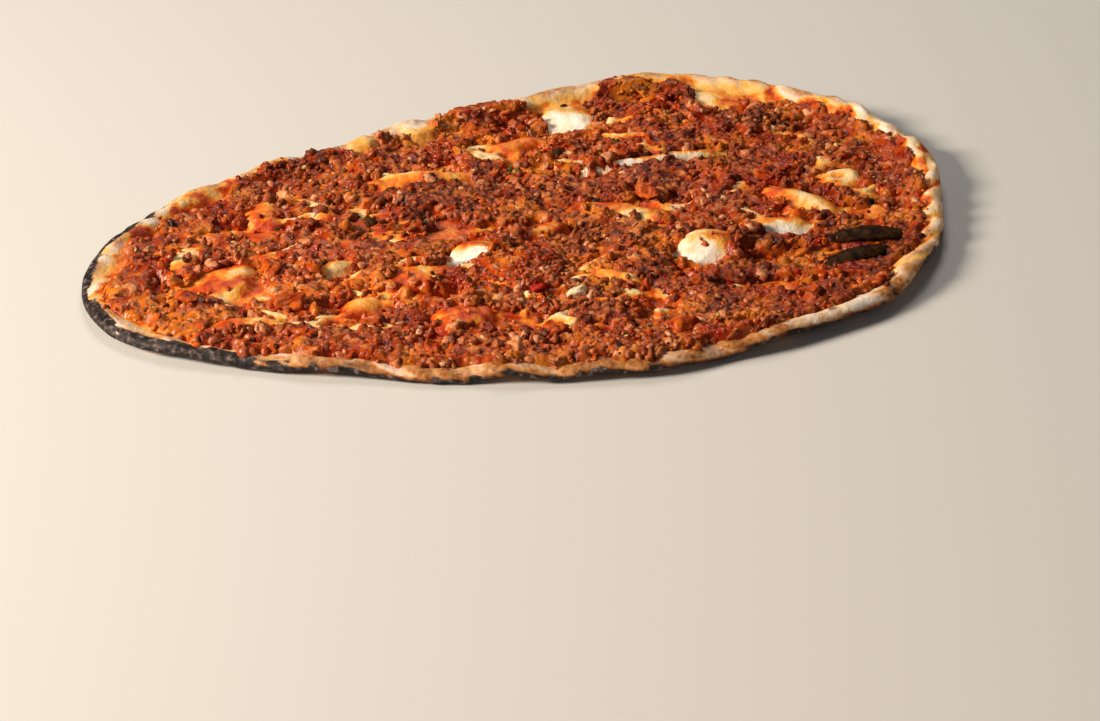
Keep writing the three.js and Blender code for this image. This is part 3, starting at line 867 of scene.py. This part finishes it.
PASTE_BROWNS = ((0.0, "#240700"), (0.35, "#601c04"), (0.6, "#943a0a"), (0.95, "#d07c30"))
layer_mesh.materials.append(
    mince_material("baked_mince_paste", PASTE_BROWNS, ("#8c1a02", "#c2440a", "#e4801e"))
)
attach(layer, "root")
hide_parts("topping")


# Mince crumbs: what the meat grinder made, browned, 1.5 to 7 mm long and turned every way. They lie
# heaped on the layer, more in some places than in others.

# Crumbs have this many shapes, each with this many lumps across it, cut from noise this far apart.
CRUMB_FORMS = 12
FORM_LUMPS = 2.2
FORM_STEP = (7.3, 2.9, 5.1)
# How far a place may lie off the even grid, in spacings, and how softly the crumbs thin out.
JITTER = 0.42
THINNING = 0.9
random = np.random.default_rng(11)
# noise_vector draws on this seed, and without it on the clock.
noise.seed_set(11)


def crumb_form(seed, faces_level, unevenness):
    """The points and triangles of one lumpy crumb, about 1 across."""
    form = bmesh.new()
    bmesh.ops.create_icosphere(form, subdivisions=faces_level, radius=0.5)
    points = np.array([v.co[:] for v in form.verts])
    faces = np.array([[v.index for v in face.verts] for face in form.faces])
    form.free()
    shifted = points * FORM_LUMPS + [seed * step for step in FORM_STEP]
    swell = np.array([noise.fractal(p, 1, 2, 2) for p in shifted.tolist()])
    pull = np.array([noise.noise_vector((p[0] + 40, p[1], p[2])) for p in (shifted * 0.7).tolist()])
    return points * (1 + unevenness * swell)[:, None] + 0.4 * unevenness * pull, faces


def turned(points, yaw, pitch, roll):
    """Points turned about Z, then Y, then X."""
    for turn, first, second in ((roll, 1, 2), (pitch, 2, 0), (yaw, 0, 1)):
        c, s = math.cos(turn), math.sin(turn)
        moved = points.copy()
        moved[:, first] = c * points[:, first] - s * points[:, second]
        moved[:, second] = s * points[:, first] + c * points[:, second]
        points = moved
    return points


def joined_copies(name, forms, places, sizes, turns, **shares):
    """One mesh of many crumbs: each place takes the next form, at its own size and turn."""
    points, faces, owners = [], [], []
    start = 0
    for i, (place, size, turn) in enumerate(zip(places, sizes, turns)):
        form_points, form_faces = forms[i % len(forms)]
        crumb = turned(form_points * size, *turn) + place
        crumb[:, 2] += max(LOWEST - crumb[:, 2].min(), 0)
        crumb[:, 2] -= max(crumb[:, 2].max() - HIGHEST, 0)
        points.append(crumb)
        faces.append(form_faces + start)
        owners.append(np.full(len(form_points), i))
        start += len(form_points)
    points = np.vstack(points)
    faces = np.vstack(faces)
    owners = np.concatenate(owners)
    mesh = bpy.data.meshes.new(name)
    mesh.vertices.add(len(points))
    mesh.loops.add(faces.size)
    mesh.polygons.add(len(faces))
    mesh.loops.foreach_set("vertex_index", faces.ravel())
    mesh.polygons.foreach_set("loop_start", np.arange(0, faces.size, faces.shape[1]))
    mesh.update(calc_edges=True)
    write_points(mesh, *points.T)
    smooth_faces(mesh)
    give_shares(mesh, **{key: np.asarray(values)[owners] for key, values in shares.items()})
    return new_object(name, mesh)


def scatter(spacing, least_thickness):
    """Evenly spread random places on the topping, with few on thin mince and none on the white dough."""
    reach = OVAL_LENGTH / 2
    columns = np.arange(-reach, reach, spacing)
    rows = np.arange(-reach, reach, spacing * math.sqrt(3) / 2)
    x, y = np.meshgrid(columns, rows)
    x[1::2] += spacing / 2
    x = (x + random.uniform(-JITTER, JITTER, x.shape) * spacing).ravel()
    y = (y + random.uniform(-JITTER, JITTER, y.shape) * spacing).ravel()
    near = np.hypot(x, y) < topping_edge(np.arctan2(y, x)) + 2
    x, y = x[near], y[near]
    thickness = layer_thickness(x, y)
    softness = random.uniform(-THINNING, THINNING, len(x))
    kept = thickness - white_share(x, y) + softness > least_thickness
    order = random.permutation(int(kept.sum()))
    return x[kept][order], y[kept][order], thickness[kept][order]


# sink is the share of its length by which a crumb's middle lies under the heap's top, level how finely it
# is modelled, and least the thinnest topping that carries it.
CRUMBS = (
    {"name": "coarse_mince", "spacing": 4.0, "size": (3.6, 6.8), "sink": 0.12, "level": 2, "least": 0.5},
    {"name": "medium_mince", "spacing": 4.2, "size": (2.6, 4.4), "sink": -0.08, "level": 2, "least": 0.2},
    {"name": "fine_mince", "spacing": 3.8, "size": (1.5, 2.7), "sink": -0.3, "level": 1, "least": -0.6},
)
CRUMB_BROWNS = (
    (0.0, "#2a0a00"),
    (0.3, "#6a2406"),
    (0.55, "#9e4c20"),
    (0.75, "#c47c4e"),
    (1.0, "#e4ac7c"),
)
# A crumb's width and height as shares of its length, and its turn about Z, Y and X.
CRUMB_WIDTHS = (0.55, 0.95)
CRUMB_HEIGHTS = (0.5, 0.85)
CRUMB_TURNS = (2 * np.pi, 1.6, 1.6)
CRUMB_UNEVENNESS = 0.6
HEAP_HEIGHT = 1.5
mince_meat = mince_material("baked_mince_crumb", CRUMB_BROWNS, ("#8e2002", "#c04a0a", "#dc7e22"))
for crumb in CRUMBS:
    x, y, thickness = scatter(crumb["spacing"], crumb["least"])
    count = len(x)
    length = random.uniform(*crumb["size"], count)
    width = length * random.uniform(*CRUMB_WIDTHS, count)
    sizes = np.column_stack([length, width, length * random.uniform(*CRUMB_HEIGHTS, count)])
    from_edge = topping_edge(np.arctan2(y, x)) - np.hypot(x, y)
    heap = HEAP_HEIGHT * np.clip(rough(x, y, 20, 9.9), 0, 1) * smooth_step(4, 14, from_edge)
    heap = (heap + region("heap", x, y)) * smooth_step(-0.5, 1, thickness)
    height = bread_top(x, y) + np.maximum(thickness, 0) + heap - length * crumb["sink"]
    turns = random.uniform(-0.5, 0.5, (count, 3)) * CRUMB_TURNS
    forms = [crumb_form(seed, crumb["level"], CRUMB_UNEVENNESS) for seed in range(CRUMB_FORMS)]
    # Each crumb's own random tone, with the regions' painted light and shade added.
    tone = random.normal(0.53, 0.18, count) + region("tone", x, y)
    wet = 0.25 + 0.8 * rough(x, y, 18, 2.2) + random.normal(0, 0.3, count) + region("wet", x, y)
    pile = joined_copies(
        crumb["name"],
        forms,
        np.column_stack([x, y, height]),
        sizes,
        turns,
        tone=np.clip(tone, 0, 1),
        wet=np.clip(wet, 0, 1),
    )
    pile.data.materials.append(mince_meat)
    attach(pile, "root")
    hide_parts("topping")


# Tomato, pepper, onion and parsley bits: chopped with the mince to 1.4 to 4.6 mm, then softened by baking.
# Tomato is the most of them. Parsley is nearly gone, and a few bits have burnt.

BITS = (
    {"name": "tomato_bits", "spacing": 11, "size": (2.0, 4.6), "slot": "tomato", "finish": "tomato"},
    {"name": "pepper_bits", "spacing": 21, "size": (1.8, 3.4), "slot": "red_pepper", "finish": "pepper"},
    {"name": "onion_bits", "spacing": 26, "size": (1.6, 3.2), "slot": "onion", "finish": "onion"},
    {"name": "parsley_bits", "spacing": 46, "size": (1.4, 3.0), "slot": "green_pepper", "finish": "leaf"},
    {"name": "burnt_bits", "spacing": 30, "size": (1.6, 3.4), "slot": "minced_meat", "finish": "burnt"},
)


FLESH_SIZE = 3.03


def soft_material(name, deep, bright, gloss, shine=0.14):
    """Cooked vegetable: a wet, slightly clear flesh between two shades."""
    material, tree = new_material(name)
    place = add(tree, "ShaderNodeTexCoord").outputs["Object"]
    flesh = add(
        tree,
        "ShaderNodeTexNoise",
        {"Vector": place, "Scale": pattern_scale(FLESH_SIZE), "Detail": 5},
    )
    bump = add(
        tree,
        "ShaderNodeBump",
        {"Height": flesh.outputs["Fac"], "Strength": 0.6, "Distance": 1.2 * MM},
    )
    shader = add(
        tree,
        "ShaderNodeBsdfPrincipled",
        {
            "Base Color": ramp(tree, flesh.outputs["Fac"], ((0.35, deep), (0.65, bright))),
            "Roughness": gloss,
            "Specular IOR Level": shine,
            "Normal": bump.outputs[0],
            "Subsurface Weight": 0.15,
            "Subsurface Scale": 2 * MM,
        },
    )
    finish_material(tree, shader)
    return material


BIT_FINISHES = {
    "tomato": soft_material("cooked_tomato", "#8a2404", "#d06420", 0.32),
    "pepper": soft_material("cooked_red_pepper", "#6e0604", "#b3240e", 0.28),
    "onion": soft_material("cooked_onion", "#c48e48", "#ecc98c", 0.35),
    "leaf": soft_material("baked_parsley", "#172506", "#41611a", 0.5),
    "burnt": soft_material("burnt_mince", "#261206", "#54300f", 0.5, 0.08),
}
# Bits that stand out by themselves: place and size.
PLACED_BITS = {
    "tomato_bits": ((52.3, -38.2, 2.6), (51.6, -36, 1.6)),
    "parsley_bits": ((13, 47, 4), (10, 48, 2.5), (127, -25, 5), (131, -27, 3)),
    "burnt_bits": ((-85, 38, 6.5), (-52, 30, 7), (32, 53, 5.5), (-79, 2, 3), (-48, 28, 4), (51, 93, 3)),
}
# A bit's length, width and height as shares, its turn, and how high it sits, by how thick the topping is.
BIT_SHAPE = (1, 0.7, 0.5)
BIT_TURNS = (2 * np.pi, 1.2, 1.2)
BIT_UNEVENNESS = 0.7
BIT_SEAT = 0.1
BIT_RISE = 0.8
# Bits take other shapes than the crumbs do, from this number on.
FIRST_BIT_FORM = 20
for bit in BITS:
    x, y, thickness = scatter(bit["spacing"], 0.0)
    length = random.uniform(*bit["size"], len(x))
    if bit["name"] in PLACED_BITS:
        placed = np.array(PLACED_BITS[bit["name"]], float).T
        x, y, length = [np.append(old, new) for old, new in zip((x, y, length), placed)]
        thickness = layer_thickness(x, y)
    count = len(x)
    sizes = np.column_stack([length * share for share in BIT_SHAPE])
    seat = BIT_SEAT + BIT_RISE * smooth_step(-0.4, 1.2, thickness)
    height = bread_top(x, y) + np.maximum(thickness, 0) + seat
    turns = random.uniform(-0.5, 0.5, (count, 3)) * BIT_TURNS
    forms = [crumb_form(FIRST_BIT_FORM + k, 2, BIT_UNEVENNESS) for k in range(CRUMB_FORMS)]
    pile = joined_copies(bit["name"], forms, np.column_stack([x, y, height]), sizes, turns)
    pile.data.materials.append(BIT_FINISHES[bit["finish"]])
    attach(pile, "root")
    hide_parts("topping")


# Tomato, red pepper and onion: the larger chopped pieces, kneaded in with the mince and softened by
# baking. Each is a lumpy piece, half sunk in the topping.

# Middle, length and turn.
TOMATO_PIECES = (
    (-98, -20, 12, 20),
    (-97, 6, 9, 75),
    (-132, -6, 8, 130),
    (-20, -72, 10, 40),
    (22, -88, 11, 0),
    (52, 12, 9, 100),
    (12, 84, 9, 20),
)
TOMATO_SHAPE = (1, 0.72, 0.5)
# How high a piece's middle lies over the sheet of dough.
LUMP_SEAT = 3.4


def lump(name, x, y, size, turn, material, unevenness):
    """One softened piece, size long, wide and high."""
    points, faces = crumb_form(x + y, 4, unevenness)
    spot = np.array([x]), np.array([y])
    height = sheet_height(*spot)[0] + LUMP_SEAT
    piece = joined_copies(
        name,
        [(points, faces)],
        np.array([[x, y, height]]),
        np.array([size]),
        np.array([[math.radians(turn), 0, 0]]),
    )
    piece.data.materials.append(material)
    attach(piece, "root")
    return piece


for i, (x_mm, y_mm, long_mm, turn) in enumerate(TOMATO_PIECES, 1):
    size = [long_mm * share for share in TOMATO_SHAPE]
    piece = lump(f"cooked_tomato_{i}", x_mm, y_mm, size, turn, BIT_FINISHES["tomato"], 0.55)
    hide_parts(f"tomato_piece_{i}")

piece = lump("cooked_red_pepper", -15, -45, (8, 5.5, 4.5), 35, BIT_FINISHES["pepper"], 0.6)
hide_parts("red_pepper_piece")

onion_flesh = soft_material("pale_cooked_onion", "#ecd09a", "#fbe8bd", 0.3)
piece = lump("cooked_onion", -4, -53, (10, 5, 4.6), 20, onion_flesh, 0.3)
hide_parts("onion_piece")


# Green pepper: two flat strips of a roasted long pepper, half sunk in the mince. The skin has gone a dull
# olive brown, nearly black, and its edges are uneven.

PEPPER_STRIPS = (
    {"at": (112, -50), "length": 28, "width": 10, "thickness": 0.9, "arch": 1.5, "turn": -12},
    {"at": (101, -63), "length": 27, "width": 9, "thickness": 0.9, "arch": 1.3, "turn": 8},
)
PEPPER_CELLS = (40, 14)
PEPPER_DROOP = 1.8
# How high a strip's edges lie over the sheet of dough.
PEPPER_SEAT = 3.5
pepper_skin = soft_material("roasted_green_pepper", "#140902", "#3a230a", 0.5, 0.05)

for i, strip in enumerate(PEPPER_STRIPS, 1):
    strip_bm = bmesh.new()
    bmesh.ops.create_grid(strip_bm, x_segments=PEPPER_CELLS[0], y_segments=PEPPER_CELLS[1], size=1)
    strip_mesh = bpy.data.meshes.new(f"roasted_pepper_{i}")
    strip_bm.to_mesh(strip_mesh)
    strip_bm.free()
    along, across, _ = read_points(strip_mesh)
    narrowing = 1 - 0.55 * np.abs(along) ** 3 + 0.22 * rough(along * 12, across * 2 + 5 * i, 5, 3.7)
    local_x = along * strip["length"] / 2
    local_y = across * strip["width"] / 2 * narrowing
    local_x = local_x + 1.6 * rough(along * 0 + i, local_y, 4, 3.1)
    turn = math.radians(strip["turn"])
    x = strip["at"][0] + local_x * math.cos(turn) - local_y * math.sin(turn)
    y = strip["at"][1] + local_x * math.sin(turn) + local_y * math.cos(turn)
    spot = np.array([float(strip["at"][0])]), np.array([float(strip["at"][1])])
    seat = sheet_height(*spot)[0] + PEPPER_SEAT
    wrinkle = 0.5 * rough(x, y, 9, 1.1) + 0.22 * rough(x, y, 2.5, 6.2)
    z = seat + strip["arch"] * (1 - across**2) - PEPPER_DROOP * along**2 + wrinkle
    write_points(strip_mesh, x, y, z)
    smooth_faces(strip_mesh)
    piece = new_object(f"roasted_pepper_{i}", strip_mesh)
    wall = piece.modifiers.new("wall", "SOLIDIFY")
    wall.thickness = strip["thickness"] * MM
    wall.offset = 0
    strip_mesh.materials.append(pepper_skin)
    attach(piece, "root")
    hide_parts(f"pepper_slice_{i}")
